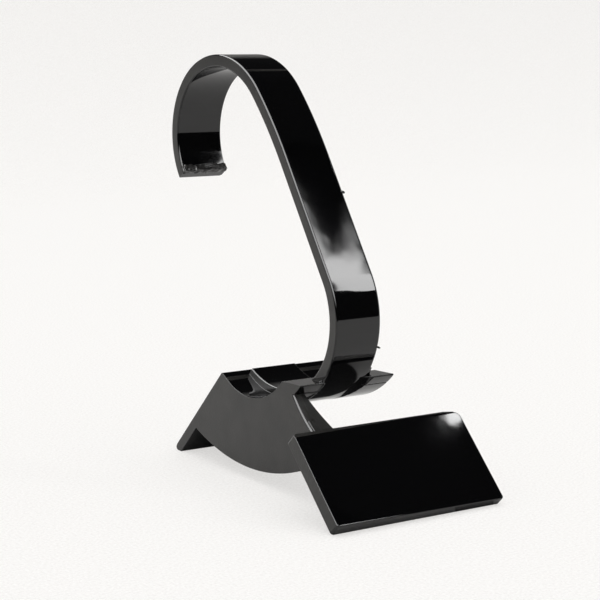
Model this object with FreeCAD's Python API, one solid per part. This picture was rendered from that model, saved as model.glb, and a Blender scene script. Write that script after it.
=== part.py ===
"""Watch stand moulded in one piece from glossy black plastic.

Section coordinates are (y, z) with y = 0 at the crest of the base and the front of the
stand towards -y. Everything is drawn in that section and given its width along x. The
finished solid is moved at the end so that the origin is the middle of its footprint.
"""
import os
import math
import FreeCAD, Part
from FreeCAD import Vector

# ribbon: one long strip bent from the hook's tip down into the trough of the base
ribbon_w = 12.8
ribbon_t = 3.0
tip_y = 32.9
tip_z = 68.0
tip_heading = 54.0
hook_r = 19.9
hook_angle = 101.1
crown_r = 24.5
crown_angle = 70.3
shoulder_r = 117.0
shoulder_angle = 9.6
straight_len = 31.7
knee_r = 20.2
knee_angle = 93.9
seat_r = 27.1
seat_angle = 58.3
ribbon_edge_round = 0.4
tip_bead_h = 2.0
tip_bead_proud = 0.7

# base: trough with wide wings, crest and sloping back panel
base_w = 27.0
panel_overhang = 3.7
crest_z = 24.1
trough_r = 19.0
trough_cy = -11.5
trough_cz = 39.2
trough_front_y = -25.7
lip_y = -33.0
lip_z = 27.8
under_skin = 0.6
corner_r_front = 2.4
corner_r_back = 0.2
panel_t = 2.5
panel_angle = 47.3
crest_round = 0.6
foot_round = 1.0
inner_fillet = 1.5

# side web at the left end, joining trough, panel and plate
web_t = 2.1
web_low_y = -12.9
web_low_z = 3.0
web_back_z = 8.7
web_front_y = -30.0
web_front_z = 5.8
web_nose_y = -31.2
web_nose_z = 23.4
web_mid_y = -36.0
web_mid_z = 18.8
web_toe_y = -40.0
web_toe_z = 16.2
web_edge_round = 0.5
pad_t = 0.7
pad_top_z = 19.2

# tapering gusset beside the web's front edge
gusset_top_w = 1.6
gusset_low_w = 4.6
gusset_depth = 4.0
gusset_set_back = 0.5

# label plate leaning back on the floor in front
plate_w = 48.0
plate_shift_x = 1.2
plate_l = 24.4
plate_t_left = 3.4
plate_t_right = 2.4
plate_angle = 44.2
plate_back_y = -59.2
plate_corner_r = 0.8
plate_high_corner_r = 1.7
plate_bevel = 0.35

left_x = -base_w / 2.0
# the base's underside runs round the seat bend with a thin skin below the ribbon
under_r = seat_r + under_skin
# longer than the whole stand, for the tools that trim it
beyond = 2.0 * (plate_w + base_w)


def pt(y, z, x=0.0):
    return Vector(x, y, z)


def line(a, b):
    return Part.LineSegment(a, b).toShape()


def arc(a, m, b):
    return Part.Arc(a, m, b).toShape()


def slab(edges, x0, x1):
    """Close the section edges into a face at x0 and give it width up to x1."""
    face = Part.Face(Part.Wire(Part.__sortEdges__(edges)))
    face.translate(Vector(x0, 0, 0))
    return face.extrude(Vector(x1 - x0, 0, 0))


def turn(y, z, heading, radius, sweep):
    """End point, end heading and turning centre of a left-hand bend."""
    a = math.radians(heading)
    cy = y - radius * math.sin(a)
    cz = z + radius * math.cos(a)
    b = math.radians(heading + sweep)
    return cy + radius * math.sin(b), cz - radius * math.cos(b), heading + sweep, cy, cz


def rod(cy, cz, radius):
    """Long cylinder along x."""
    return Part.makeCylinder(radius, beyond, Vector(-beyond / 2.0, cy, cz), Vector(1, 0, 0))


def on_circle(cy, cz, radius, heading):
    a = math.radians(heading)
    return pt(cy + radius * math.sin(a), cz - radius * math.cos(a))


def upper_z(cy, cz, radius, y):
    """Height of the lower half of a circle at y."""
    return cz - math.sqrt(radius * radius - (y - cy) ** 2)


# Ribbon. The bends follow each other tangentially; the outer side is walked down and the
# inner side back, so the strip keeps its thickness all the way.
outer = []
inner = []
y, z, heading = tip_y, tip_z, tip_heading
bends = [
    (hook_r, hook_angle),
    (crown_r, crown_angle),
    (shoulder_r, shoulder_angle),
    (0.0, straight_len),
    (knee_r, knee_angle),
    (seat_r, seat_angle),
]
centres = []
for radius, amount in bends:
    a = math.radians(heading)
    side = Vector(0, -math.sin(a), math.cos(a)) * ribbon_t
    start = pt(y, z)
    if radius == 0.0:
        y = y + amount * math.cos(a)
        z = z + amount * math.sin(a)
        outer.append(line(start, pt(y, z)))
        inner.append(line(start + side, pt(y, z) + side))
        continue
    end_y, end_z, end_heading, cy, cz = turn(y, z, heading, radius, amount)
    middle = heading + amount / 2.0
    inner_r = radius - ribbon_t
    outer.append(arc(start, on_circle(cy, cz, radius, middle), pt(end_y, end_z)))
    inner.append(arc(start + side, on_circle(cy, cz, inner_r, middle),
                     on_circle(cy, cz, inner_r, end_heading)))
    y, z, heading = end_y, end_z, end_heading
    centres.append((cy, cz))
knee_cy, knee_cz = centres[-2]
seat_cy, seat_cz = centres[-1]

first_out = outer[0].Vertexes[0].Point
first_in = inner[0].Vertexes[0].Point
last_out = outer[-1].Vertexes[-1].Point
last_in = inner[-1].Vertexes[-1].Point
ribbon = slab(outer + inner + [line(first_out, first_in), line(last_out, last_in)],
              -ribbon_w / 2.0, ribbon_w / 2.0)
long_edges = [e for e in ribbon.Edges if e.BoundBox.XLength < 0.01 and e.Length > ribbon_t * 1.1]
ribbon = ribbon.makeFillet(ribbon_edge_round, long_edges)

# Raised bead left on the inner side of the hook's tip.
tip_a = math.radians(tip_heading)
along = Vector(0, math.cos(tip_a), math.sin(tip_a))
across = Vector(0, -math.sin(tip_a), math.cos(tip_a))
bead_0 = first_out + across * (ribbon_t - 0.5)
bead_1 = first_out + across * (ribbon_t + tip_bead_proud)
bead_2 = bead_1 + along * tip_bead_h
bead_3 = bead_0 + along * tip_bead_h
bead = slab([line(bead_0, bead_1), line(bead_1, bead_2), line(bead_2, bead_3),
             line(bead_3, bead_0)], -ribbon_w / 2.0, ribbon_w / 2.0)
bead_edges = [e for e in bead.Edges if abs(e.Length - ribbon_w) < 0.01
              and (e.CenterOfMass - bead_0).dot(across) > 0.6]
bead = bead.makeFillet(0.45, bead_edges)

# Base section: trough, front lip, underside, panel and foot in one outline.
p_a = math.radians(panel_angle)
down = Vector(0, math.cos(p_a), -math.sin(p_a))
inward = Vector(0, -math.sin(p_a), -math.cos(p_a))
crest = pt(0.0, crest_z)
foot_out = crest + down * (crest_z / math.sin(p_a))
inner_start = crest + inward * panel_t
foot_in = inner_start + down * (inner_start.z / math.sin(p_a))

# where the underside arc meets the panel's inner face
rel = inner_start - pt(seat_cy, seat_cz)
b_half = rel.dot(down)
reach = -b_half + math.sqrt(b_half * b_half - rel.dot(rel) + under_r * under_r)
corner = inner_start + down * reach

trough_back_y = 0.0
trough_back = pt(trough_back_y, upper_z(trough_cy, trough_cz, trough_r, trough_back_y))
trough_low = pt(trough_cy, trough_cz - trough_r)
trough_front = pt(trough_front_y, upper_z(trough_cy, trough_cz, trough_r, trough_front_y))
lip_top = pt(lip_y, lip_z)
lip_low = pt(lip_y, upper_z(seat_cy, seat_cz, under_r, lip_y))
under_low = pt(seat_cy, seat_cz - under_r)
base_edges = [
    arc(trough_back, trough_low, trough_front),
    line(trough_front, lip_top),
    line(lip_top, lip_low),
    arc(lip_low, under_low, corner),
    line(corner, foot_in),
    line(foot_in, foot_out),
    line(foot_out, trough_back),
]
base = slab(base_edges, left_x, -left_x + panel_overhang)


def edges_at(shape, y, z, tol=0.05):
    """Edges running along x whose section point is (y, z)."""
    found = []
    for e in shape.Edges:
        c = e.CenterOfMass
        if abs(c.y - y) < tol and abs(c.z - z) < tol and e.BoundBox.XLength > 1.0:
            found.append(e)
    return found


base = base.makeFillet(inner_fillet, edges_at(base, corner.y, corner.z))
base = base.makeFillet(foot_round, edges_at(base, foot_out.y, foot_out.z))
base = base.makeFillet(crest_round, edges_at(base, trough_back.y, trough_back.z))
base = base.makeFillet(0.4, edges_at(base, lip_low.y, lip_low.z))

# The panel and the back of the trough run on further right than the lip: the corner in front
# of them is cut off, at a slant where the trough is lowest.
slant = Part.Face(Part.makePolygon([
    Vector(-left_x, -beyond, 0),
    Vector(-left_x, trough_cy - panel_overhang, 0),
    Vector(-left_x + panel_overhang, trough_cy + panel_overhang, 0),
    Vector(beyond, trough_cy + panel_overhang, 0),
    Vector(beyond, -beyond, 0),
    Vector(-left_x, -beyond, 0),
]))
base = base.cut(slant.extrude(Vector(0, 0, beyond)))

# In the middle the base has no lip: a blend that touches the knee bend at the height of the
# lip and the underside further down carries the ribbon's front on into the base.
touch = Vector(0, math.sqrt(knee_r ** 2 - (knee_cz - lip_z) ** 2), knee_cz - lip_z) / knee_r
to_seat = pt(seat_cy - knee_cy, seat_cz - knee_cz)
room = under_r - knee_r
step_in = (room ** 2 - to_seat.dot(to_seat)) / (2.0 * (room - to_seat.dot(touch)))
blend_r = knee_r + step_in
blend = rod(knee_cy + touch.y * step_in, knee_cz + touch.z * step_in, blend_r)
middle = Part.makeBox(ribbon_w, trough_cy - lip_y + lip_z, trough_cz,
                      Vector(-ribbon_w / 2.0, lip_y - lip_z, 0.0))
base = base.cut(middle.cut(blend))

# Concave corners between the ribbon's sides and the top of the lip, wide at the ribbon's front
# and running out towards its inner side. They are drawn on the lip, then tilted with it.
lip_tilt = math.atan2(lip_top.z - trough_front.z, trough_front.y - lip_top.y)
overlap = 2.0 * ribbon_edge_round


def corner_outline(side, y, radius):
    """Concave quarter round at the ribbon's side, with some overlap into ribbon and lip."""
    x = side * ribbon_w / 2.0
    x_in = x - side * overlap
    x_out = x + side * radius
    bow = radius * (1.0 - math.sqrt(0.5))
    return Part.Wire([
        line(Vector(x_in, y, radius), Vector(x_in, y, -overlap)),
        line(Vector(x_in, y, -overlap), Vector(x_out, y, -overlap)),
        line(Vector(x_out, y, -overlap), Vector(x_out, y, 0)),
        arc(Vector(x_out, y, 0), Vector(x + side * bow, y, bow), Vector(x, y, radius)),
        line(Vector(x, y, radius), Vector(x_in, y, radius)),
    ])


knee_strip = rod(knee_cy, knee_cz, knee_r).cut(rod(knee_cy, knee_cz, knee_r - ribbon_t))
corners = []
for side in (-1.0, 1.0):
    concave = Part.makeLoft([corner_outline(side, -ribbon_t / 2.0, corner_r_front),
                             corner_outline(side, 2.0 * ribbon_t, corner_r_back)], True, True)
    concave.rotate(Vector(0, 0, 0), Vector(1, 0, 0), -math.degrees(lip_tilt))
    concave.translate(lip_top)
    corners.append(concave.common(knee_strip))

# Label plate: a rectangle with rounded corners, bevelled round its front face.
t_a = math.radians(plate_angle)
uphill = Vector(0, math.cos(t_a), math.sin(t_a))
normal = Vector(0, -math.sin(t_a), math.cos(t_a))
plate_x0 = plate_shift_x - plate_w / 2.0
plate_x1 = plate_shift_x + plate_w / 2.0
outline = [
    Vector(plate_x0, 0, 0),
    Vector(plate_x1, 0, 0),
    Vector(plate_x1, 0, plate_t_right),
    Vector(plate_x0, 0, plate_t_left),
    Vector(plate_x0, 0, 0),
]
plate = Part.Face(Part.makePolygon(outline)).extrude(Vector(0, plate_l, 0))
corner_edges = [e for e in plate.Edges if e.BoundBox.XLength < 0.01 and e.BoundBox.YLength < 0.01]
high_corner = [e for e in corner_edges if e.CenterOfMass.x > 0 and e.CenterOfMass.y > plate_l / 2.0]
low_corners = [e for e in corner_edges if not (e.CenterOfMass.x > 0 and e.CenterOfMass.y > plate_l / 2.0)]
plate = plate.makeFillet(plate_high_corner_r, high_corner)
low_edges = [e for e in plate.Edges for c in low_corners
             if (e.CenterOfMass - c.CenterOfMass).Length < 0.01]
plate = plate.makeFillet(plate_corner_r, low_edges)
front_face = [f for f in plate.Faces if f.normalAt(0, 0).z > 0.9][0]
plate = plate.makeChamfer(plate_bevel, front_face.Edges)
plate.rotate(Vector(0, 0, 0), Vector(1, 0, 0), plate_angle)
plate.translate(Vector(0, plate_back_y, 0))
plate_back = pt(plate_back_y, 0.0)
plate_top_back = plate_back + uphill * plate_l

# Side web. Its lower edge is an arch, its front edge runs down from under the lip and
# flattens out into the back of the plate.
web_back = inner_start + down * ((inner_start.z - web_back_z) / math.sin(p_a))
web_low = pt(web_low_y, web_low_z)
web_front = pt(web_front_y, web_front_z)
join = normal * (plate_t_right * 0.5)
plate_low_join = plate_back + uphill * (web_front_z / math.sin(t_a)) + join
plate_top_join = plate_top_back - uphill * 0.9 + join
nose = pt(web_nose_y, web_nose_z)
mid = pt(web_mid_y, web_mid_z)
toe = pt(web_toe_y, web_toe_z)
nose_in = pt(web_nose_y + 1.6, web_nose_z + 1.6)
body_low = pt(trough_cy, trough_cz - trough_r - 0.8)
crest_in = crest + down * 2.0 + inward * 1.0
back_in = web_back - inward * 1.0
web_edges = [
    arc(web_back, web_low, web_front),
    line(web_front, plate_low_join),
    line(plate_low_join, plate_top_join),
    line(plate_top_join, toe),
    arc(toe, mid, nose),
    line(nose, nose_in),
    arc(nose_in, body_low, crest_in),
    line(crest_in, back_in),
    line(back_in, web_back),
]
web = slab(web_edges, left_x, left_x + web_t)
nose_edge = [e for e in web.Edges if e.BoundBox.XLength < 0.01
             and abs(e.CenterOfMass.x - left_x) < 0.01
             and abs(e.CenterOfMass.y - web_mid_y) < 1.0
             and abs(e.CenterOfMass.z - web_mid_z) < 1.5]
web = web.makeFillet(web_edge_round, nose_edge)


def strip(set_back, depth):
    """Outline that follows the web's front edge, set back and of the given depth."""
    back = Vector(0, set_back, 0)
    deep = Vector(0, depth, -depth * 0.4)
    foot_of_strip = plate_top_join + deep - uphill * (plate_l / 4.0)
    return [
        line(nose_in + back, nose + back),
        arc(nose + back, mid + back, toe + back),
        line(toe + back, plate_top_join),
        line(plate_top_join, foot_of_strip),
        line(foot_of_strip, mid + deep),
        line(mid + deep, nose_in + deep),
        line(nose_in + deep, nose_in + back),
    ]


web_in = left_x + web_t - 0.5
# lower part of the web's front edge, a little thicker than the web
pad = slab(strip(0.0, 2.5), web_in, left_x + web_t + pad_t)
pad_top = Part.makeBox(beyond, beyond, beyond, Vector(-beyond / 2.0, -beyond / 2.0, pad_top_z))
pad = pad.cut(pad_top)

# gusset behind it, cut to a width that grows downwards
gusset = slab(strip(gusset_set_back, gusset_depth), web_in, left_x + web_t + 2.0 * gusset_low_w)
taper_top = left_x + web_t + gusset_top_w
taper_low = left_x + web_t + gusset_low_w
slope = (taper_low - taper_top) / (web_nose_z - web_toe_z)
keep = Part.makePolygon([
    Vector(left_x, 0, lip_z),
    Vector(taper_top - slope * (lip_z - web_nose_z), 0, lip_z),
    Vector(taper_low + slope * web_toe_z, 0, 0),
    Vector(left_x, 0, 0),
    Vector(left_x, 0, lip_z),
])
wedge = Part.Face(keep)
wedge.translate(Vector(0, -beyond / 2.0, 0))
gusset = gusset.common(wedge.extrude(Vector(0, beyond, 0)))

# One solid, as it leaves the mould.
stand = ribbon.fuse([bead, base, plate, web, pad, gusset] + corners).removeSplitter()
solids = stand.Solids
print("solids", len(solids), "valid", stand.isValid(), "volume", round(stand.Volume, 1))
if len(solids) != 1:
    raise SystemExit("the stand must be one solid")
stand = solids[0]

box = stand.optimalBoundingBox(False, False)
stand.translate(Vector(-(box.XMin + box.XMax) / 2.0, -(box.YMin + box.YMax) / 2.0, -box.ZMin))
box = stand.optimalBoundingBox(False, False)
print("box", [round(v, 3) for v in (box.XMin, box.XMax, box.YMin, box.YMax, box.ZMin, box.ZMax)])
print("size", round(box.XLength, 2), round(box.YLength, 2), round(box.ZLength, 2))

os.makedirs("parts", exist_ok=True)
stand.exportStep("parts/stand.step")
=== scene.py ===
import math

import bpy
import bmesh
from mathutils import Matrix, Vector, noise


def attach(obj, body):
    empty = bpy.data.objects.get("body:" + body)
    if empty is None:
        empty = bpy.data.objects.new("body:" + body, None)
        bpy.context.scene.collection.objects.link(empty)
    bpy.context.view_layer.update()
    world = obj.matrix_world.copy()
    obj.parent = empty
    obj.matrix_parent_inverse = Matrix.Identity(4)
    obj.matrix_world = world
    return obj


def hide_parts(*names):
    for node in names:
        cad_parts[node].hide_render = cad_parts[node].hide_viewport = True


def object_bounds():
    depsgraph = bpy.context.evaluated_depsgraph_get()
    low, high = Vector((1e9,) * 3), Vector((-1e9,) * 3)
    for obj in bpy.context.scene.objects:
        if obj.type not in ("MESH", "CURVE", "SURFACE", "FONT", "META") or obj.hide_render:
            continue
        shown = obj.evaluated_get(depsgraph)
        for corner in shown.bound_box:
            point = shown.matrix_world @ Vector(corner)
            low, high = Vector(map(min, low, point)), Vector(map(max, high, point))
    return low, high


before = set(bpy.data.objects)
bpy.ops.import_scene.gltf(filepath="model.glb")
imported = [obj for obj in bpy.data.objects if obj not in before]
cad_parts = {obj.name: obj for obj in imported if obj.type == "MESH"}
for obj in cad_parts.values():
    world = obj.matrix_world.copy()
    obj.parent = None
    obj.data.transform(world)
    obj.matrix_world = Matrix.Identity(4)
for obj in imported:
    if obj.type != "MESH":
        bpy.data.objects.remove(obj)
cad_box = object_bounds()

# Ribbon: the long strip that carries the watch, moulded in one piece with the base from black
# ABS and still springy. It is one flat section, led from the hook's tip through five bends and a
# straight run down into the trough. Lengths are millimetres, and y is 0 at the base's crest.
ribbon_w = 12.8
ribbon_t = 3.0
tip_y, tip_z, tip_heading = 32.9, 68.0, 54.0
# name, outer radius, turn in degrees and facets; the straight run has its length for a turn
bends = [
    ("hook", 19.9, 101.1, 46),
    ("crown", 24.5, 70.3, 34),
    ("shoulder", 117.0, 9.6, 10),
    ("straight", 0.0, 31.7, 1),
    ("knee", 20.2, 93.9, 44),
    ("seat", 27.1, 58.3, 26),
]
# side (1 is right), face (1 is the outer one) and rounding; the inner right edge stays crisp
rounded_edges = [(-1, 1, 0.42), (-1, -1, 0.42), (1, 1, 0.75)]
edge_facets = 5


def start_piece(name, kind, scale=(1, 1, 1), **where):
    """Add a primitive with nothing else selected and leave it in object mode."""
    bpy.ops.object.select_all(action="DESELECT")
    getattr(bpy.ops.mesh, "primitive_" + kind + "_add")(**where)
    piece = bpy.context.active_object
    piece.name = name
    piece.scale = scale
    bpy.ops.object.transform_apply(location=True, rotation=True, scale=True)
    return piece


def pick(piece):
    """Make a piece the only selected one, and the active one."""
    bpy.ops.object.select_all(action="DESELECT")
    piece.select_set(True)
    bpy.context.view_layer.objects.active = piece


def weld(nearer_than, thinner_than):
    """Merge the active piece's doubled points and drop its slivers."""
    bpy.ops.object.mode_set(mode="EDIT")
    bpy.ops.mesh.select_all(action="SELECT")
    bpy.ops.mesh.remove_doubles(threshold=nearer_than)
    bpy.ops.mesh.dissolve_degenerate(threshold=thinner_than)
    bpy.ops.object.mode_set(mode="OBJECT")


def join_or_cut(piece, other, how):
    """Boolean one piece with another, which is used up."""
    step = piece.modifiers.new(how.lower(), "BOOLEAN")
    step.operation = how
    step.solver = "EXACT"
    step.object = other
    step.use_hole_tolerant = True
    pick(piece)
    bpy.ops.object.modifier_apply(modifier=step.name)
    bpy.data.objects.remove(other, do_unlink=True)
    weld(nearer_than=0.004, thinner_than=0.003)


def trim(piece, point, normal):
    """Cut a piece by a plane, drop what is on the normal's side and close the cut."""
    pick(piece)
    bpy.ops.object.mode_set(mode="EDIT")
    bpy.ops.mesh.select_all(action="SELECT")
    bpy.ops.mesh.bisect(plane_co=point, plane_no=Vector(normal).normalized(), clear_outer=True,
                        use_fill=True, threshold=0.0005)
    bpy.ops.object.mode_set(mode="OBJECT")


turn = math.radians(tip_heading)
outer = Vector((0, math.sin(turn), -math.cos(turn)))
tip_mid = (0.0, tip_y - math.sin(turn) * ribbon_t / 2, tip_z + math.cos(turn) * ribbon_t / 2)
ribbon =start_piece("ribbon", "plane", size=1.0, location=tip_mid,
                     rotation=(turn + math.pi / 2, 0, 0), scale=(ribbon_w, ribbon_t, 1))
bpy.ops.object.mode_set(mode="EDIT")
touching = 0.001
for side, face, rounding in rounded_edges:
    mesh = bmesh.from_edit_mesh(ribbon.data)
    bpy.ops.mesh.select_mode(type="VERT")
    bpy.ops.mesh.select_all(action="DESELECT")
    for v in mesh.verts:
        from_mid = v.co - Vector(tip_mid)
        at_side = abs(from_mid.x * side - ribbon_w / 2) < touching
        v.select_set(at_side and from_mid.dot(outer) * face > ribbon_t / 2 - touching)
    bmesh.update_edit_mesh(ribbon.data)
    bpy.ops.mesh.bevel(offset=rounding, affect="VERTICES", segments=edge_facets)
bpy.ops.mesh.select_all(action="SELECT")
bend_at = {}
y, z, heading = tip_y, tip_z, turn
for name, radius, amount, facets in bends:
    if name == "straight":
        step_y = amount * math.cos(heading)
        step_z = amount * math.sin(heading)
        bpy.ops.mesh.extrude_region_move(TRANSFORM_OT_translate={"value": (0, step_y, step_z)})
        y, z = y + step_y, z + step_z
        continue
    cy = y - radius * math.sin(heading)
    cz = z + radius * math.cos(heading)
    # with no window a spin turns the other way, so its angle is negative
    bpy.ops.mesh.spin(steps=facets, angle=-math.radians(amount), center=(0, cy, cz), axis=(1, 0, 0))
    heading += math.radians(amount)
    y = cy + radius * math.sin(heading)
    z = cz - radius * math.cos(heading)
    bend_at[name] = (cy, cz, radius)
bpy.ops.mesh.select_all(action="SELECT")
bpy.ops.mesh.remove_doubles(threshold=0.0005)
bpy.ops.mesh.normals_make_consistent(inside=False)
bpy.ops.object.mode_set(mode="OBJECT")

# Base: a trough with a wing on each side of the ribbon, a flat lip in front and a thin panel
# that slopes down behind to a narrow foot. A web closes its left end, with an arch clear of the
# table and a front edge that sweeps down to the label plate. It is cut from one block here.
knee_cy, knee_cz, knee_r = bend_at["knee"]
seat_cy, seat_cz, _ = bend_at["seat"]
left_x, right_x, overhang = -13.5, 13.5, 3.7
base_front, base_back, base_top = -46, 30, 32
trough_r, trough_cy, trough_cz = 19.0, -11.5, 39.2
under_r = 27.7
lip_y, lip_z, lip_back_y, under_lip_z = -33.0, 27.0, -25.7, 24.6
lip_edge_r = 0.13
panel_t = 2.5
slope = math.radians(47.3)
panel_out = Vector((0, math.sin(slope), math.cos(slope)))
panel_down = Vector((0, math.cos(slope), -math.sin(slope)))
crest = Vector((0, 0, 24.1))
crest_r, inner_crest_r, foot_r = 0.6, 1.5, 1.0
web_t, web_edge_r = 2.1, 0.5
web_edge_points = (-31.2, 23.4), (-36.0, 18.8), (-40.0, 16.2)
arch_points = (14.2, 8.7), (-12.9, 3.0), (-30.0, 5.8)
arch_top, core_block_top, core_top = 14, 40, 34
plate_angle = math.radians(44.2)
plate_foot = Vector((0, -59.2, 0))
plate_normal = Vector((0, -math.sin(plate_angle), math.cos(plate_angle)))
web_into_plate = 1.2
# cutters reach this far, well past the base on every side
past_x, past_front, past_back, past_under, past_top, past_lip = 40, -60, 40, -5, 60, 20
fine_facets, foot_facets, web_edge_facets, lip_edge_facets = 720, 6, 4, 3
slant_lean = (-2, 1, 0)


def block(name, x0, x1, y0, y1, z0, z1):
    """A box between two corners."""
    return start_piece(name, "cube", size=1.0, scale=(x1 - x0, y1 - y0, z1 - z0),
                       location=((x0 + x1) / 2, (y0 + y1) / 2, (z0 + z1) / 2))


def disc(name, cy, cz, radius, facets=360):
    """A long cylinder along x, for rounding or scooping a section."""
    return start_piece(name, "cylinder", vertices=facets, radius=radius, depth=90,
                       location=(0, cy, cz), rotation=(0, math.pi / 2, 0))


def circle_through(a, b, c):
    """Centre and radius of the circle through three section points."""
    ax, ay = a
    bx, by = b
    cx, cy = c
    d = 2 * (ax * (by - cy) + bx * (cy - ay) + cx * (ay - by))
    ux = ((ax * ax + ay * ay) * (by - cy) + (bx * bx + by * by) * (cy - ay)
          + (cx * cx + cy * cy) * (ay - by)) / d
    uy = ((ax * ax + ay * ay) * (cx - bx) + (bx * bx + by * by) * (ax - cx)
          + (cx * cx + cy * cy) * (bx - ax)) / d
    return ux, uy, math.hypot(ax - ux, ay - uy)


def round_edges(piece, chosen, radius, facets):
    """Bevel the edges whose two end points both pass the test chosen(point)."""
    pick(piece)
    bpy.ops.object.mode_set(mode="EDIT")
    bpy.ops.mesh.select_mode(type="EDGE")
    bpy.ops.mesh.select_all(action="DESELECT")
    mesh = bmesh.from_edit_mesh(piece.data)
    for edge in mesh.edges:
        if all(chosen(v.co) for v in edge.verts):
            edge.select_set(True)
    bmesh.update_edit_mesh(piece.data)
    bpy.ops.mesh.bevel(offset=radius, segments=facets, clamp_overlap=False)
    bpy.ops.object.mode_set(mode="OBJECT")


def along_x(y, z, reach=0.05):
    """Test for points on the line that runs across the stand at one section point."""
    return lambda p: abs(p.y - y) < reach and abs(p.z - z) < reach


def on_web_edge(p):
    """Test for points on the outer edge of the web's sweep, below the lip."""
    on_sweep = abs(math.hypot(p.y - edge_cy, p.z - edge_cz) - edge_r) < 0.02
    return on_sweep and abs(p.x - left_x) < 0.01 and p.z < under_lip_z + 0.1


def round_tip(piece, cy, cz, scoop_r, start, radius):
    """Round the edge along x where a scooped cylinder meets the sloping plane through start."""
    inside = start - panel_out * radius
    scoop = Vector((0, cy, cz))
    to_start = inside - scoop
    half = to_start.dot(panel_down)
    reach = math.sqrt(half * half - to_start.length_squared + (scoop_r + radius) ** 2) - half
    middle = inside + panel_down * reach
    on_plane = middle + panel_out * radius
    on_scoop = middle + (scoop - middle).normalized() * radius
    away = ((on_plane + on_scoop) / 2 - middle).normalized() * radius * 3
    tip_half = 40.5
    tip = block("tip", -tip_half, tip_half, 0, 1, 0, 1)
    for v in tip.data.vertices:
        spot = on_plane if v.co.y > 0.5 else on_scoop
        v.co = Vector((v.co.x, 0, 0)) + spot + (away if v.co.z > 0.5 else Vector((0, 0, 0)))
    join_or_cut(tip, disc("rod", middle.y, middle.z, radius, 96), "DIFFERENCE")
    join_or_cut(piece, tip, "DIFFERENCE")


base = block("base", left_x, right_x + overhang, base_front, base_back, 0, base_top)
trim(base, crest, panel_out)
foot_y = crest.z / math.tan(slope)
round_edges(base, along_x(foot_y, 0), foot_r / math.tan(slope / 2), foot_facets)
trim(base, plate_foot + plate_normal * web_into_plate, plate_normal)

# front edge of the web, below the lip
edge_cy, edge_cz, edge_r = circle_through(*web_edge_points)
sweep = disc("sweep", edge_cy, edge_cz, edge_r, fine_facets)
trim(sweep, (0, 0, under_lip_z), (0, 0, 1))
join_or_cut(base, sweep, "DIFFERENCE")
round_edges(base, on_web_edge, web_edge_r, web_edge_facets)
before_lip = block("before_lip", -past_x, past_x, past_front, -past_lip, under_lip_z, past_top)
join_or_cut(before_lip, disc("under", seat_cy, seat_cz, under_r), "DIFFERENCE")
join_or_cut(base, before_lip, "DIFFERENCE")

# lip and trough
lip_back_z = trough_cz - math.sqrt(trough_r ** 2 - (lip_back_y - trough_cy) ** 2)
lip_turn = Matrix.Rotation(-math.atan2(lip_z - lip_back_z, lip_back_y - lip_y), 3, "X")
over_lip = block("over_lip", -past_x, past_x, -past_lip, 0, 0, past_lip)
for v in over_lip.data.vertices:
    v.co = lip_turn @ v.co + Vector((0, lip_back_y, lip_back_z))
join_or_cut(base, over_lip, "DIFFERENCE")
lip_face = block("face", -past_x, past_x, past_front, lip_y, under_lip_z, past_top)
join_or_cut(base, lip_face, "DIFFERENCE")
round_edges(base, along_x(lip_y, lip_z, 0.1), lip_edge_r, lip_edge_facets)
join_or_cut(base, disc("hollow", trough_cy, trough_cz, trough_r), "DIFFERENCE")
round_tip(base, trough_cy, trough_cz, trough_r, crest, crest_r)

# arch under the web, then the open space under trough and panel to the right of it
inner_crest = crest - panel_out * panel_t
arch_cy, arch_cz, arch_r = circle_through(*arch_points)
arch = block("arch", -past_x, past_x, past_front, past_back, past_under, arch_top)
trim(arch, inner_crest, panel_out)
join_or_cut(arch, disc("arch_round", arch_cy, arch_cz, arch_r, fine_facets), "DIFFERENCE")
join_or_cut(base, arch, "DIFFERENCE")
core = block("core", left_x + web_t, past_x, past_front, past_back, past_under, core_block_top)
trim(core, inner_crest, panel_out)
trim(core, (0, 0, core_top), (0, 0, 1))
join_or_cut(core, disc("under", seat_cy, seat_cz, under_r), "DIFFERENCE")
round_tip(core, seat_cy, seat_cz, under_r, inner_crest, inner_crest_r)
join_or_cut(base, core, "DIFFERENCE")

# the panel and the trough's back run on further right than the lip, with a slant between
slant = block("slant", right_x, past_x, past_front, trough_cy + overhang, past_under, past_top)
trim(slant, (right_x, trough_cy - overhang, 0), slant_lean)
join_or_cut(base, slant, "DIFFERENCE")

# In front the wings give way to the ribbon. A barrel that touches both the knee and the
# underside cuts them back, and swells towards the right wing so that no step is left there.
touch = Vector((0, math.sqrt(knee_r ** 2 - (knee_cz - lip_z) ** 2), knee_cz - lip_z)) / knee_r
to_seat = Vector((0, seat_cy - knee_cy, seat_cz - knee_cz))
room = under_r - knee_r
step_in = (room ** 2 - to_seat.length_squared) / (2 * (room - to_seat.dot(touch)))
ribbon_proud = 0.03
barrel_r = knee_r + step_in - ribbon_proud
barrel_cy, barrel_cz = knee_cy + touch.y * step_in, knee_cz + touch.z * step_in
flare_from, flare_to, flare = 3.6, 10.4, 0.055
ring_step, rings = 0.4, 19
gap_front, gap_back, gap_under, gap_top = -45, -15, 15, 40
barrel = disc("barrel", barrel_cy, barrel_cz, barrel_r)
for i in range(rings):
    bpy.ops.object.mode_set(mode="EDIT")
    bpy.ops.mesh.select_all(action="SELECT")
    bpy.ops.mesh.bisect(plane_co=(flare_from + i * ring_step, 0, 0), plane_no=(1, 0, 0))
    bpy.ops.object.mode_set(mode="OBJECT")
for v in barrel.data.vertices:
    beyond = min(max(0.0, v.co.x - flare_from), flare_to + 1 - flare_from)
    away = Vector((0, v.co.y - barrel_cy, v.co.z - barrel_cz)).normalized()
    v.co += away * (flare * beyond ** 2)
gap = block("gap", -ribbon_w / 2, flare_to, gap_front, gap_back, gap_under, gap_top)
join_or_cut(gap, barrel, "DIFFERENCE")
join_or_cut(base, gap, "DIFFERENCE")

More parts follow.
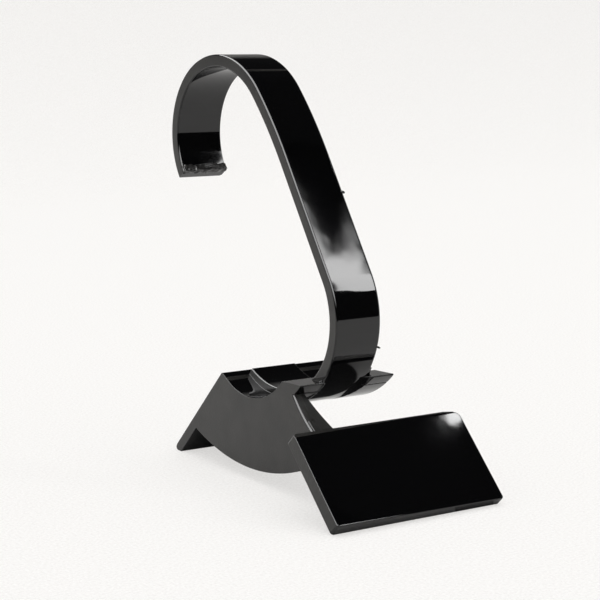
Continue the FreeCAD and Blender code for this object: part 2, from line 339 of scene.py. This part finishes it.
# concave corners between the ribbon's sides and the lip, wide in front and running out behind
corner_r, corner_back, corner_front, corner_sunk = 2.4, 6.0, 1.5, 0.8
shy_of_front, shy_of_back, cone_reach = 0.02, 0.1, 1.5
for side in (-1, 1):
    x = side * ribbon_w / 2
    inner_x, outer_x = x - side * corner_sunk, x + side * corner_r
    corner = block("corner", min(inner_x, outer_x), max(inner_x, outer_x),
                   -corner_front, corner_back, -corner_sunk, corner_r)
    end = Vector((x, corner_back, 0))
    to_front = -corner_front - corner_back
    across = Vector((side * corner_r, to_front, 0))
    upward = Vector((0, to_front, corner_r))
    out = across.cross(upward)
    trim(corner, end, out if out.x * side > 0 else -out)
    axis = Vector((side * corner_r, to_front, corner_r))
    cone_l = axis.length * cone_reach
    cone = start_piece("cone", "cone", vertices=128, radius1=0.0, depth=cone_l,
                       radius2=cone_l * math.tan(math.asin(corner_r / axis.length)),
                       location=end + axis * (cone_reach / 2),
                       rotation=axis.to_track_quat("Z", "Y").to_euler())
    join_or_cut(corner, cone, "DIFFERENCE")
    for v in corner.data.vertices:
        v.co = lip_turn @ v.co + Vector((0, lip_y, lip_z))
    corner_face = disc("front", knee_cy, knee_cz, knee_r - shy_of_front)
    join_or_cut(corner, corner_face, "INTERSECT")
    corner_rear = disc("back", knee_cy, knee_cz, knee_r - ribbon_t + shy_of_back)
    join_or_cut(corner, corner_rear, "DIFFERENCE")
    join_or_cut(base, corner, "UNION")

# Pad and gusset: the web's front edge is thicker low down, and a gusset stands behind it, which
# widens towards the plate. Both are moulded on and stiffen the web where it carries the plate.
# Each lies between two copies of the web's sweep, moved back or drawn a little smaller.
pad_x0, pad_x1 = left_x + 0.8, left_x + web_t + 0.7
pad_y0, pad_y1, pad_z0, pad_z1 = -45, -30, 8, 19.2
pad_proud, pad_back_y, pad_back_z, pad_into_plate = 0.1, 2.5, -1.0, 1.4
pad = block("pad", pad_x0, pad_x1, pad_y0, pad_y1, pad_z0, pad_z1)
join_or_cut(pad, disc("sweep", edge_cy, edge_cz, edge_r - pad_proud, fine_facets), "DIFFERENCE")
pad_rear = disc("sweep", edge_cy + pad_back_y, edge_cz + pad_back_z, edge_r, fine_facets)
join_or_cut(pad, pad_rear, "INTERSECT")
trim(pad, plate_foot + plate_normal * pad_into_plate, plate_normal)
gusset_x0, gusset_x1 = left_x + 1.0, left_x + 11.0
gusset_y0, gusset_y1, gusset_z0, gusset_z1 = -46, -26, 7, 25.2
gusset_front_y, gusset_back_y, gusset_back_z, gusset_into_plate = 0.5, 4.0, -1.6, 1.0
gusset_side, gusset_lean = (left_x + web_t + 1.6, 0, 23.4), (7.2, 0, 3.0)
gusset = block("gusset", gusset_x0, gusset_x1, gusset_y0, gusset_y1, gusset_z0, gusset_z1)
gusset_front = disc("sweep", edge_cy + gusset_front_y, edge_cz, edge_r, fine_facets)
join_or_cut(gusset, gusset_front, "DIFFERENCE")
gusset_rear = disc("sweep", edge_cy + gusset_back_y, edge_cz + gusset_back_z, edge_r, fine_facets)
join_or_cut(gusset, gusset_rear, "INTERSECT")
trim(gusset, plate_foot + plate_normal * gusset_into_plate, plate_normal)
trim(gusset, gusset_side, gusset_lean)

# Label plate: a blank tablet that leans back on the table in front, ready for a price label.
# It is moulded with the web, a little thicker at its left end, and a shallow flat runs along its
# upper edge and widens towards the left. It is drawn lying down, then leaned back on its foot.
plate_x0, plate_x1, plate_l = -22.8, 25.2, 24.4
plate_t_left, plate_t_right = 3.4, 2.4
plate_corner_r, plate_big_corner_r, rim = 0.8, 1.7, 0.35
corner_facets, big_corner_facets, rim_facets = 6, 10, 3
flat_w, flat_drop = 1.6, 0.4
first_t = 3
plate = block("plate", plate_x0, plate_x1, 0, plate_l, 0, first_t)
for v in plate.data.vertices:
    if v.co.z > first_t / 2:
        v.co.z = plate_t_left if v.co.x < 0 else plate_t_right


def upright_at(x, y, reach=0.1):
    """Test for points on the plate's short edge at one of its corners."""
    return lambda p: abs(p.x - x) < reach and abs(p.y - y) < reach


def on_plate_face(p):
    """Test for points on the plate's front face while it lies down."""
    return abs(p.dot(face_up) - face_at) < 0.01


round_edges(plate, upright_at(plate_x1, plate_l), plate_big_corner_r, big_corner_facets)
for x, y in ((plate_x0, 0), (plate_x1, 0), (plate_x0, plate_l)):
    round_edges(plate, upright_at(x, y), plate_corner_r, corner_facets)
flat_start = Vector((plate_x0, plate_l - flat_w, plate_t_left))
flat_end = Vector((plate_x1, plate_l, plate_t_right))
flat_low = Vector((plate_x0, plate_l, plate_t_left - flat_drop))
flat_up = (flat_end - flat_start).cross(flat_low - flat_start)
trim(plate, flat_start, flat_up)
face_up = Vector((plate_t_left - plate_t_right, 0, plate_x1 - plate_x0)).normalized()
face_at = Vector((plate_x0, 0, plate_t_left)).dot(face_up)
round_edges(plate, on_plate_face, rim, rim_facets)
lean_back = Matrix.Rotation(plate_angle, 3, "X")
for v in plate.data.vertices:
    v.co = lean_back @ v.co + plate_foot

# Traces of moulding: a torn gate along the inside of the hook's tip, where the plastic was
# broken off its runner, two flecks of flash on the ribbon's right edge and a nick in the hook.
along = Vector((0, math.cos(turn), math.sin(turn)))
inward = -outer
off_face, from_tip = 0.05, 0.7
gate_l, gate_w, gate_h = ribbon_w - 0.3, 1.9, 1.3
coarse_tear_per_mm, coarse_tear, fine_tear_per_mm, fine_tear = 0.9, 0.34, 2.6, 0.2
longest_facet = 0.6
gate_mid = Vector((0, tip_y, tip_z)) + inward * (ribbon_t + off_face) + along * from_tip
gate = start_piece("torn_gate", "cube", size=1.0, scale=(gate_l, gate_w, gate_h))
bpy.ops.object.mode_set(mode="EDIT")
bpy.ops.mesh.select_all(action="SELECT")
bpy.ops.mesh.subdivide(number_cuts=3)
bpy.ops.mesh.select_all(action="DESELECT")
for _ in range(2):
    mesh = bmesh.from_edit_mesh(gate.data)
    for edge in mesh.edges:
        span = edge.verts[0].co - edge.verts[1].co
        edge.select_set(abs(span.x) > longest_facet)
    bmesh.update_edit_mesh(gate.data)
    bpy.ops.mesh.subdivide(number_cuts=2)
bpy.ops.object.mode_set(mode="OBJECT")
for v in gate.data.vertices:
    coarse = noise.noise_vector(v.co * coarse_tear_per_mm) * coarse_tear
    fine = noise.noise_vector(v.co * fine_tear_per_mm + Vector((7, 3, 1))) * fine_tear
    spot = v.co + (coarse + fine)
    v.co = gate_mid + Vector((spot.x, 0, 0)) + along * spot.y + inward * spot.z
join_or_cut(ribbon, gate, "UNION")
flecks = [((6.35, -20.75, 69.25), (0.75, 0.3, 0.34)), ((6.35, -36.1, 34.6), (0.85, 0.26, 0.26))]
for spot, size in flecks:
    fleck = start_piece("fleck", "ico_sphere", subdivisions=2, radius=1.0, scale=size,
                        location=spot, rotation=(0.3, 0.35, 0.2))
    join_or_cut(ribbon, fleck, "UNION")
nick = start_piece("nick", "ico_sphere", subdivisions=2, radius=1.0, scale=(0.8, 0.42, 0.5),
                   location=(-6.6, 28.25, 96.6))
join_or_cut(ribbon, nick, "DIFFERENCE")

# The finished stand: the mould leaves all of it as one body of black ABS. It is brought to
# metres in the part's own frame and kept to the solid's box, and its round faces shade smooth.
stand = base
stand.name = "stand_moulding"
for part in (pad, gusset, plate, ribbon):
    join_or_cut(stand, part, "UNION")
pick(stand)
weld(nearer_than=0.012, thinner_than=0.01)
mm_per_m = 1000
shift = Vector((-1.2, 12.303, 0))
to_frame = Matrix.Scale(1 / mm_per_m, 4) @ Matrix.Translation(shift)
stand.data.transform(to_frame)
for v in stand.data.vertices:
    v.co = Vector([min(max(v.co[i], cad_box[0][i]), cad_box[1][i]) for i in range(3)])
bpy.ops.object.shade_smooth_by_angle(angle=math.radians(30))
weigh = stand.modifiers.new("weigh", "WEIGHTED_NORMAL")
weigh.keep_sharp = True
weigh.weight = 100
bpy.ops.object.modifier_apply(modifier=weigh.name)


def to_linear(hex_code):
    """Linear colour of an sRGB hex value."""
    channels = [int(hex_code[i:i + 2], 16) / 255 for i in (1, 3, 5)]
    return tuple(c / 12.92 if c <= 0.04045 else ((c + 0.055) / 1.055) ** 2.4
                 for c in channels) + (1.0,)


def add_node(tree, kind, settings=None, links=None):
    """Add one node with its settings and links, by the name of a field or an input's name or number."""
    node = tree.nodes.new(kind)
    for key, value in (settings or {}).items():
        if isinstance(key, int) or key in node.inputs:
            node.inputs[key].default_value = value
        else:
            setattr(node, key, value)
    for key, socket in (links or {}).items():
        tree.links.new(socket, node.inputs[key])
    return node


# Black ABS, injection moulded against polished steel: a deep gloss that mirrors the room, with
# ripples some 11 mm apart from the plastic's flow. Edges too fine to model shade as 0.22 mm rounds.
edge_round_m = 0.00022
abs_ior = 1.5
gloss = bpy.data.materials.new("moulded_black_abs")
gloss.use_nodes = True
tree = gloss.node_tree
shader = tree.nodes["Principled BSDF"]
shader.inputs["Base Color"].default_value = to_linear("#060607")
shader.inputs["IOR"].default_value = abs_ior
shader.inputs["Roughness"].default_value = 0.04
place = add_node(tree, "ShaderNodeTexCoord")
ripple_mm = 100 / 9
ripple = add_node(tree, "ShaderNodeTexNoise", {"Scale": mm_per_m / ripple_mm, "Detail": 2.0},
                  {"Vector": place.outputs["Object"]})
soft_edges = add_node(tree, "ShaderNodeBevel", {"Radius": edge_round_m, "samples": 6})
bump = add_node(tree, "ShaderNodeBump", {"Strength": 0.05, "Distance": 0.0005},
                {"Height": ripple.outputs["Fac"], "Normal": soft_edges.outputs["Normal"]})
tree.links.new(bump.outputs["Normal"], shader.inputs["Normal"])

# The same ABS where the mould wasn't polished or the gate tore: all that faces left or right, the
# web's swept front and the plate's upper flat. A grain, drawn 0.4 mm coarse so that it shows,
# scatters the light, so they look grey, and clouds of 6 mm make that grey uneven.
dull = bpy.data.materials.new("unpolished_black_abs")
dull.use_nodes = True
tree = dull.node_tree
shader = tree.nodes["Principled BSDF"]
shader.inputs["IOR"].default_value = abs_ior
shader.inputs["Roughness"].default_value = 0.3
place = add_node(tree, "ShaderNodeTexCoord")
grain_mm, cloud_mm = 0.4, 6.25
grain = add_node(tree, "ShaderNodeTexNoise", {"Scale": mm_per_m / grain_mm, "Detail": 3.0},
                 {"Vector": place.outputs["Object"]})
cloudy = add_node(tree, "ShaderNodeTexNoise", {"Scale": mm_per_m / cloud_mm, "Detail": 4.0},
                  {"Vector": place.outputs["Object"]})
greys = add_node(tree, "ShaderNodeValToRGB", None, {"Fac": cloudy.outputs["Fac"]})
greys.color_ramp.elements[0].position = 0.3
greys.color_ramp.elements[0].color = to_linear("#171615")
greys.color_ramp.elements[1].position = 0.75
greys.color_ramp.elements[1].color = to_linear("#282725")
tree.links.new(greys.outputs["Color"], shader.inputs["Base Color"])
soft_edges = add_node(tree, "ShaderNodeBevel", {"Radius": edge_round_m, "samples": 6})
bump = add_node(tree, "ShaderNodeBump", {"Strength": 0.25, "Distance": 0.0001},
                {"Height": grain.outputs["Fac"], "Normal": soft_edges.outputs["Normal"]})
tree.links.new(bump.outputs["Normal"], shader.inputs["Normal"])

# which faces came off unpolished steel, judged by where they lie and how they face
stand.data.materials.clear()
stand.data.materials.append(gloss)
stand.data.materials.append(dull)
gate_at = to_frame @ gate_mid
flat_normal = (lean_back @ flat_up).normalized()
gate_reach_m, torn_facet_m2 = 0.0016, 1e-6
web_front_w, web_front_reach = 11, 0.7
for face in stand.data.polygons:
    sideways = abs(face.normal.x) > 0.97
    from_gate = math.hypot(face.center.y - gate_at.y, face.center.z - gate_at.z)
    torn = from_gate < gate_reach_m and face.area < torn_facet_m2
    section = face.center * mm_per_m - shift
    from_sweep = math.hypot(section.y - edge_cy, section.z - edge_cz) - edge_r
    near_web = section.x < left_x + web_front_w and section.z < under_lip_z - 0.1
    web_front = near_web and abs(from_sweep) < web_front_reach and abs(face.normal.x) < 0.3
    upper_flat = face.normal.dot(flat_normal) > 0.9995
    if sideways or torn or web_front or upper_flat:
        face.material_index = 1
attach(stand, "root")
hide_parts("stand")

# Table and backdrop: one sheet of white cotton that lies under the stand, rises in a wide curve
# behind it and hangs straight above. Its weave, drawn 0.7 mm coarse, is only a faint mottling.
floor_half, floor_front, sweep_start, sweep_r, sweep_top = 1.6, -1.5, 0.5, 0.45, 0.25
floor = start_piece("cloth_floor", "plane", size=1.0,
                    location=(0, (floor_front + sweep_start) / 2, 0))
for v in floor.data.vertices:
    v.co.x *= 2 * floor_half
    v.co.y = sweep_start if v.co.y > (floor_front + sweep_start) / 2 else floor_front
bpy.ops.object.mode_set(mode="EDIT")
bpy.ops.mesh.select_mode(type="EDGE")
bpy.ops.mesh.select_all(action="DESELECT")
mesh = bmesh.from_edit_mesh(floor.data)
for edge in mesh.edges:
    edge.select_set(all(v.co.y > sweep_start - 0.01 for v in edge.verts))
bmesh.update_edit_mesh(floor.data)
bpy.ops.mesh.spin(steps=24, angle=-math.pi / 2, center=(0, sweep_start, sweep_r), axis=(1, 0, 0))
bpy.ops.mesh.extrude_region_move(TRANSFORM_OT_translate={"value": (0, 0, sweep_top)})
bpy.ops.object.mode_set(mode="OBJECT")
bpy.ops.object.shade_smooth()
cloth = bpy.data.materials.new("white_cotton_cloth")
cloth.use_nodes = True
tree = cloth.node_tree
shader = tree.nodes["Principled BSDF"]
shader.inputs["Roughness"].default_value = 0.95
shader.inputs["Specular IOR Level"].default_value = 0.05
place = add_node(tree, "ShaderNodeTexCoord")
thread_mm = 2 / 3
threads = add_node(tree, "ShaderNodeTexNoise",
                   {"Scale": mm_per_m / thread_mm, "Detail": 3.0, "Roughness": 0.8},
                   {"Vector": place.outputs["Object"]})
mottle = add_node(tree, "ShaderNodeValToRGB", None, {"Fac": threads.outputs["Fac"]})
mottle.color_ramp.elements[0].position = 0.3
mottle.color_ramp.elements[0].color = to_linear("#EDEBE9")
mottle.color_ramp.elements[1].position = 0.7
mottle.color_ramp.elements[1].color = to_linear("#FFFEFC")
tree.links.new(mottle.outputs["Color"], shader.inputs["Base Color"])

# part of its white is its own, so that the stand's shadow stays as faint as on a light table;
# the gloss mirrors that part only on the level cloth some way off
own_share, own_strength = 0.65, 1.07
clear_from_m, clear_at_m = 0.06, 0.14
path = add_node(tree, "ShaderNodeLightPath")
mirrored = add_node(tree, "ShaderNodeMath", {"operation": "MAXIMUM"},
                    {0: path.outputs["Is Glossy Ray"], 1: path.outputs["Is Transmission Ray"]})
far_off = add_node(tree, "ShaderNodeVectorMath", {"operation": "LENGTH"},
                   {"Vector": place.outputs["Object"]})
clear = add_node(tree, "ShaderNodeMapRange", {"From Min": clear_from_m, "From Max": clear_at_m},
                 {"Value": far_off.outputs["Value"]})
heights = add_node(tree, "ShaderNodeSeparateXYZ", None, {"Vector": place.outputs["Object"]})
level_part = add_node(tree, "ShaderNodeMapRange", {"From Min": 0.1, "From Max": 0.02},
                      {"Value": heights.outputs["Z"]})
on_table = add_node(tree, "ShaderNodeMath", {"operation": "MULTIPLY"},
                    {0: clear.outputs["Result"], 1: level_part.outputs["Result"]})
mirrored_clear = add_node(tree, "ShaderNodeMath", {"operation": "MULTIPLY"},
                          {0: mirrored.outputs["Value"], 1: on_table.outputs["Value"]})
seen = add_node(tree, "ShaderNodeMath", {"operation": "MAXIMUM"},
                {0: path.outputs["Is Camera Ray"], 1: mirrored_clear.outputs["Value"]})
share = add_node(tree, "ShaderNodeMath", {"operation": "MULTIPLY", 1: own_share},
                 {0: seen.outputs["Value"]})
own_white = add_node(tree, "ShaderNodeEmission", {"Strength": own_strength},
                     {"Color": mottle.outputs["Color"]})
lit_cloth = add_node(tree, "ShaderNodeMixShader", None,
                     {"Fac": share.outputs["Value"], 1: shader.outputs["BSDF"],
                      2: own_white.outputs["Emission"]})

# painted shade, seen only in the gloss: the cloth between plate and base is painted in deep shade,
# which the ribbon's foot mirrors, and the backdrop is painted dimmer than the table, the more so
# towards its top
shade_mid, shade_half = (0.0164, -0.018, 0.0), (0.0056, 0.03, 1.0)
shade_strength = 0.03
from_shade = add_node(tree, "ShaderNodeVectorMath", {"operation": "SUBTRACT", 1: shade_mid},
                      {0: place.outputs["Object"]})
in_halves = add_node(tree, "ShaderNodeVectorMath", {"operation": "DIVIDE", 1: shade_half},
                     {0: from_shade.outputs["Vector"]})
offsets = add_node(tree, "ShaderNodeVectorMath", {"operation": "ABSOLUTE"},
                   {0: in_halves.outputs["Vector"]})
sides = add_node(tree, "ShaderNodeSeparateXYZ", None, {"Vector": offsets.outputs["Vector"]})
outermost = add_node(tree, "ShaderNodeMath", {"operation": "MAXIMUM"},
                     {0: sides.outputs["X"], 1: sides.outputs["Y"]})
# painted deep shade: a box on the cloth between plate and base
deep = add_node(tree, "ShaderNodeMapRange",
                {"interpolation_type": "SMOOTHSTEP", "From Min": 1.1, "From Max": 0.9},
                {"Value": outermost.outputs["Value"]})
# painted dimming of the backdrop in the gloss, growing towards its top
far_wall = add_node(tree, "ShaderNodeMapRange",
                    {"From Min": 0.02, "From Max": 0.1, "To Max": 0.6},
                    {"Value": heights.outputs["Z"]})
wall_top = add_node(tree, "ShaderNodeMapRange", {"From Min": 0.2, "From Max": 0.68},
                    {"Value": heights.outputs["Z"]})
wall = add_node(tree, "ShaderNodeMath", {"operation": "MAXIMUM"},
                {0: far_wall.outputs["Result"], 1: wall_top.outputs["Result"]})
either = add_node(tree, "ShaderNodeMath", {"operation": "MAXIMUM"},
                  {0: deep.outputs["Result"], 1: wall.outputs["Value"]})
painted_shade_share = add_node(tree, "ShaderNodeMath", {"operation": "MULTIPLY"},
                  {0: either.outputs["Value"], 1: mirrored.outputs["Value"]})
# a dark emission that paints this shade where the gloss mirrors the cloth
shade = add_node(tree, "ShaderNodeEmission", {"Strength": shade_strength})
finished = add_node(tree, "ShaderNodeMixShader", None,
                    {"Fac": painted_shade_share.outputs["Value"], 1: lit_cloth.outputs["Shader"],
                     2: shade.outputs["Emission"]})
tree.links.new(finished.outputs["Shader"], tree.nodes["Material Output"].inputs["Surface"])
floor.data.materials.append(cloth)

# Softbox: the studio light in front on the right, a fabric diffuser on a frame. It shows in the
# ribbon's straight run as the large highlight: bright below a level border, and fainter above it
# up to an uneven border that sags to a point, as a pleated diffuser's does.
box_w, box_h, box_strength = 0.16, 0.26, 11.0
target = Vector((0.0, -0.02, 0.05))
azimuth, height, distance = math.radians(51), math.radians(40), 0.55
softbox = start_piece("softbox", "plane", size=1.0)
softbox.scale = (box_w, box_h, 1.0)
softbox.location = target + distance * Vector((math.sin(azimuth) * math.cos(height),
                                               -math.cos(azimuth) * math.cos(height),
                                               math.sin(height)))
softbox.rotation_euler = (softbox.location - target).to_track_quat("Z", "Y").to_euler()
softbox.visible_camera = False
softbox.visible_shadow = False
glow = bpy.data.materials.new("lit_diffuser_fabric")
glow.use_nodes = True
tree = glow.node_tree
tree.nodes.remove(tree.nodes["Principled BSDF"])

# where a point (u, v, 1) of the diffuser shows in the ribbon's straight run, in pixels of the
# 600 pixel picture down the run and across it
down_the_run, across_the_run = (-205.5, -327.4, 431.8), (339.5, -306.5, 4.3)
point_across, left_rise, right_rise, pleat_depth = 13.0, -2.9, 1.2, 26.0
faint_from, faint_to, faint_share = 62.0, 125.0, 0.75
bright_from, bright_to, bright_pleats = 58.0, 76.0, 0.35
# its upper left corner is dark on a slant, and it ends softly on the right
corner_dark, corner_lit = 0.172, 0.15
right_dark, right_lit = 60.0, 47.0
place = add_node(tree, "ShaderNodeTexCoord")
spot = add_node(tree, "ShaderNodeVectorMath", {"operation": "ADD", 1: (0.0, 0.0, 1.0)},
                {0: place.outputs["UV"]})
downward = add_node(tree, "ShaderNodeVectorMath", {"operation": "DOT_PRODUCT", 1: down_the_run},
                    {0: spot.outputs["Vector"]})
across = add_node(tree, "ShaderNodeVectorMath", {"operation": "DOT_PRODUCT", 1: across_the_run},
                  {0: spot.outputs["Vector"]})
from_point = add_node(tree, "ShaderNodeMath", {"operation": "SUBTRACT", 1: point_across},
                      {0: across.outputs["Value"]})
left_sag = add_node(tree, "ShaderNodeMath", {"operation": "MULTIPLY", 1: left_rise},
                    {0: from_point.outputs["Value"]})
right_sag = add_node(tree, "ShaderNodeMath", {"operation": "MULTIPLY", 1: right_rise},
                     {0: from_point.outputs["Value"]})
sag = add_node(tree, "ShaderNodeMath", {"operation": "MAXIMUM"},
               {0: left_sag.outputs["Value"], 1: right_sag.outputs["Value"]})
pleats = add_node(tree, "ShaderNodeTexNoise", {"Scale": 34.0, "Detail": 4.0, "Roughness": 0.6},
                  {"Vector": place.outputs["UV"]})
centred = add_node(tree, "ShaderNodeMath", {"operation": "SUBTRACT", 1: 0.5},
                   {0: pleats.outputs["Fac"]})
uneven = add_node(tree, "ShaderNodeMath", {"operation": "MULTIPLY", 1: pleat_depth},
                  {0: centred.outputs["Value"]})
sagging = add_node(tree, "ShaderNodeMath", {"operation": "ADD"},
                   {0: downward.outputs["Value"], 1: sag.outputs["Value"]})
into = add_node(tree, "ShaderNodeMath", {"operation": "ADD"},
                {0: sagging.outputs["Value"], 1: uneven.outputs["Value"]})
faintly_lit = add_node(tree, "ShaderNodeMapRange",
                       {"interpolation_type": "SMOOTHSTEP", "From Min": faint_from,
                        "From Max": faint_to, "To Max": faint_share},
                       {"Value": into.outputs["Value"]})
less_uneven = add_node(tree, "ShaderNodeMath", {"operation": "MULTIPLY", 1: bright_pleats},
                       {0: uneven.outputs["Value"]})
low_enough = add_node(tree, "ShaderNodeMath", {"operation": "ADD"},
                      {0: downward.outputs["Value"], 1: less_uneven.outputs["Value"]})
brightly_lit = add_node(tree, "ShaderNodeMapRange",
                        {"interpolation_type": "SMOOTHSTEP", "From Min": bright_from,
                         "From Max": bright_to},
                        {"Value": low_enough.outputs["Value"]})
both = add_node(tree, "ShaderNodeMath", {"operation": "MAXIMUM"},
                {0: faintly_lit.outputs["Result"], 1: brightly_lit.outputs["Result"]})
to_corner = add_node(tree, "ShaderNodeVectorMath",
                     {"operation": "DOT_PRODUCT", 1: (-1.0, 1.0, 0.0)},
                     {0: spot.outputs["Vector"]})
off_corner = add_node(tree, "ShaderNodeMapRange",
                      {"interpolation_type": "SMOOTHSTEP", "From Min": corner_dark,
                       "From Max": corner_lit},
                      {"Value": to_corner.outputs["Value"]})
off_right = add_node(tree, "ShaderNodeMapRange",
                     {"interpolation_type": "SMOOTHSTEP", "From Min": right_dark,
                      "From Max": right_lit},
                     {"Value": across.outputs["Value"]})
bounded = add_node(tree, "ShaderNodeMath", {"operation": "MULTIPLY"},
                   {0: off_corner.outputs["Result"], 1: off_right.outputs["Result"]})
lit_part = add_node(tree, "ShaderNodeMath", {"operation": "MULTIPLY"},
                    {0: both.outputs["Value"], 1: bounded.outputs["Value"]})
power = add_node(tree, "ShaderNodeMath", {"operation": "MULTIPLY", 1: box_strength},
                 {0: lit_part.outputs["Value"]})
emit = add_node(tree, "ShaderNodeEmission", None, {"Strength": power.outputs["Value"]})
tree.links.new(emit.outputs["Emission"], tree.nodes["Material Output"].inputs["Surface"])
softbox.data.materials.append(glow)

# Bulb: a bare frosted lamp further right. It is so small that only the plate's upper right
# corner mirrors it.
bulb = start_piece("bulb", "circle", vertices=24, radius=0.005, fill_type="NGON")
bulb.location = Vector((0.3475, -0.1265, 0.3835))
bulb.rotation_euler = (bulb.location - target).to_track_quat("Z", "Y").to_euler()
bulb.visible_camera = False
bulb.visible_shadow = False
white_hot = bpy.data.materials.new("frosted_bulb")
white_hot.use_nodes = True
tree = white_hot.node_tree
tree.nodes.remove(tree.nodes["Principled BSDF"])
emit = add_node(tree, "ShaderNodeEmission", {"Strength": 16.0})
tree.links.new(emit.outputs["Emission"], tree.nodes["Material Output"].inputs["Surface"])
bulb.data.materials.append(white_hot)

# Room: a white ceiling, strongest straight above, gives the soft fill. The gloss mirrors a dark
# room instead, with a wide skylight high up on the left and a white wall at the far right.
ceiling_strength, ceiling_falloff, backdrop_white = 1.63, 1.5, 0.93
room_dark, skylight_strength = 0.015, 8.0
world = bpy.data.worlds.new("white_ceiling_dark_room")
bpy.context.scene.world = world
world.use_nodes = True
tree = world.node_tree
path = add_node(tree, "ShaderNodeLightPath")
look = add_node(tree, "ShaderNodeTexCoord")
direction = add_node(tree, "ShaderNodeSeparateXYZ", None, {"Vector": look.outputs["Generated"]})
falloff = add_node(tree, "ShaderNodeMath", {"operation": "POWER", 1: ceiling_falloff},
                   {0: direction.outputs["Z"]})
ceiling = add_node(tree, "ShaderNodeMath", {"operation": "MULTIPLY", 1: ceiling_strength},
                   {0: falloff.outputs["Value"]})
above = add_node(tree, "ShaderNodeMath", {"operation": "MAXIMUM", 1: 0.0},
                 {0: ceiling.outputs["Value"]})
from_left = add_node(tree, "ShaderNodeMapRange", {"From Min": 0.25, "From Max": 0.0},
                     {"Value": direction.outputs["X"]})
right_wall = add_node(tree, "ShaderNodeMapRange", {"From Min": 0.78, "From Max": 0.92},
                      {"Value": direction.outputs["X"]})
high_up = add_node(tree, "ShaderNodeMapRange",
                   {"From Min": 0.25, "From Max": 0.5, "To Max": skylight_strength},
                   {"Value": direction.outputs["Z"]})
skylight = add_node(tree, "ShaderNodeMath", {"operation": "MULTIPLY"},
                    {0: from_left.outputs["Result"], 1: high_up.outputs["Result"]})
bright_parts = add_node(tree, "ShaderNodeMath", {"operation": "MAXIMUM"},
                        {0: skylight.outputs["Value"], 1: right_wall.outputs["Result"]})
dim_room = add_node(tree, "ShaderNodeMath", {"operation": "MAXIMUM", 1: room_dark},
                    {0: bright_parts.outputs["Value"]})
room = add_node(tree, "ShaderNodeMix", {"data_type": "FLOAT"},
                {"Factor": path.outputs["Is Glossy Ray"], "A": above.outputs["Value"],
                 "B": dim_room.outputs["Value"]})
seen_white = add_node(tree, "ShaderNodeMix", {"data_type": "FLOAT", "B": backdrop_white},
                      {"Factor": path.outputs["Is Camera Ray"], "A": room.outputs["Result"]})
tree.links.new(seen_white.outputs["Result"], tree.nodes["Background"].inputs["Strength"])
tree.nodes["Background"].inputs["Color"].default_value = to_linear("#FFFFFF")

# Camera at the photograph's viewing angle: in front on the left, looking slightly down. Its
# focal length is measured in pixels of the 600 pixel picture.
focal_px, picture_px, sensor_mm = 1824.23, 600, 36.0
pan, tilt, roll = math.radians(-35.0), math.radians(80.17), math.radians(1.16)
camera_data = bpy.data.cameras.new("camera")
camera_data.sensor_width = sensor_mm
camera_data.lens = sensor_mm * focal_px / picture_px
camera_data.clip_start = 0.01
camera = bpy.data.objects.new("camera", camera_data)
bpy.context.collection.objects.link(camera)
camera.location = (-0.24849, -0.35396, 0.11746)
view = Matrix.Rotation(pan, 3, "Z") @ Matrix.Rotation(tilt, 3, "X") @ Matrix.Rotation(roll, 3, "Z")
camera.rotation_euler = view.to_euler()
bpy.context.scene.camera = camera

bpy.context.scene.view_settings.view_transform = "Standard"
